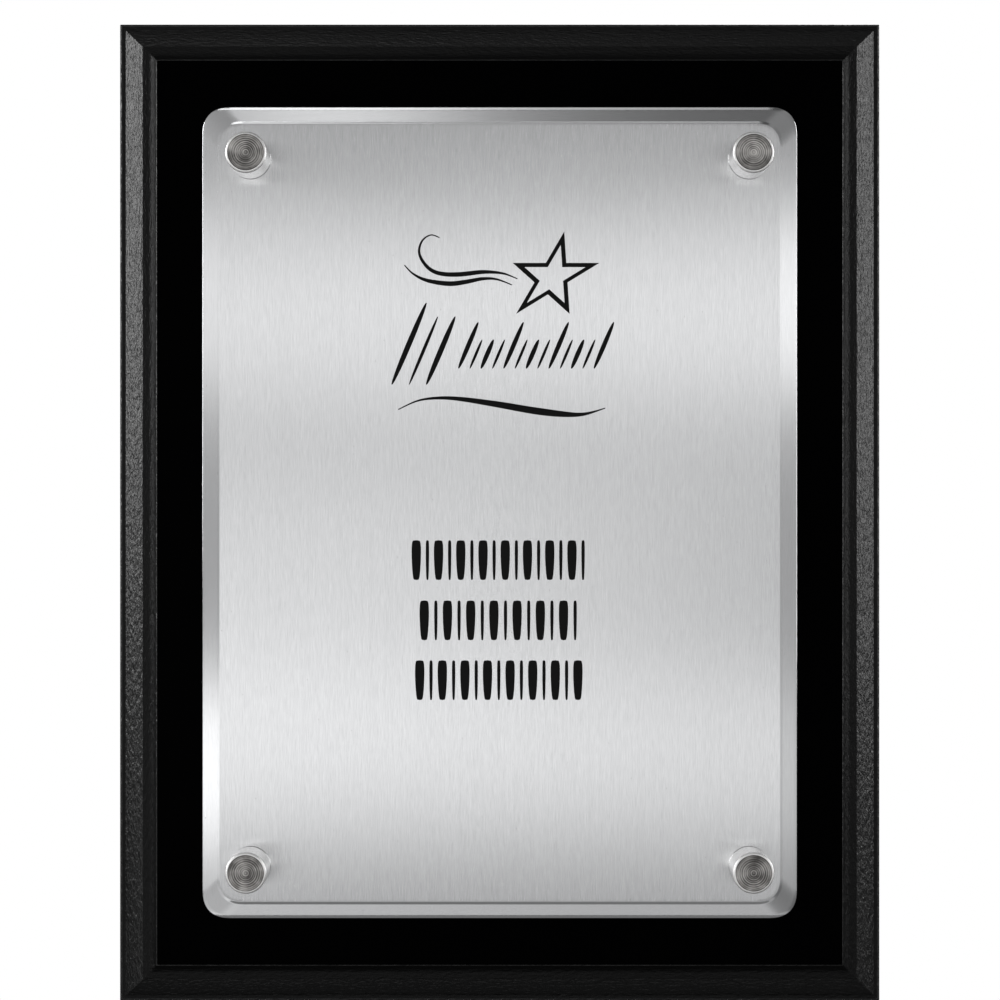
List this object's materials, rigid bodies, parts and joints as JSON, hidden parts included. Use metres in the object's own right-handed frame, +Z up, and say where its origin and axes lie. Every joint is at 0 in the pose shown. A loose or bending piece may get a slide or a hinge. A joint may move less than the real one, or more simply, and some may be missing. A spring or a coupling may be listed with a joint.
{
  "type": "award plaque",
  "caption": "Wall plaque: a bevelled, brushed silver plate held in front of a black moulded board by turned standoffs, with a keyhole slot in the board's back.",
  "frame": {"origin": "middle of the board's back face, where it lies on the wall", "axes": "+Y into the wall, out of the board's back; the plaque faces -Y; +Z up along its height; +X to the right as seen from the front"},
  "size_m": [0.1778, 0.0398, 0.2286],
  "materials": {
    "black_board": "fibreboard under black lacquer, smooth on the face and finely grained along the moulding",
    "brushed_silver": "brushed upright on the field, polished on the bevel, with a black-filled shallow engraving",
    "turned_steel": "turned, with fine rings on the caps' faces and bright sides"
  },
  "bodies": {
    "root": {"board": "black_board", "plate": "brushed_silver", "standoff_barrel_top_left": "turned_steel", "standoff_barrel_top_right": "turned_steel", "standoff_barrel_bottom_left": "turned_steel", "standoff_barrel_bottom_right": "turned_steel", "standoff_cap_top_left": "turned_steel", "standoff_cap_top_right": "turned_steel", "standoff_cap_bottom_left": "turned_steel", "standoff_cap_bottom_right": "turned_steel"}
  },
  "joints": []
}
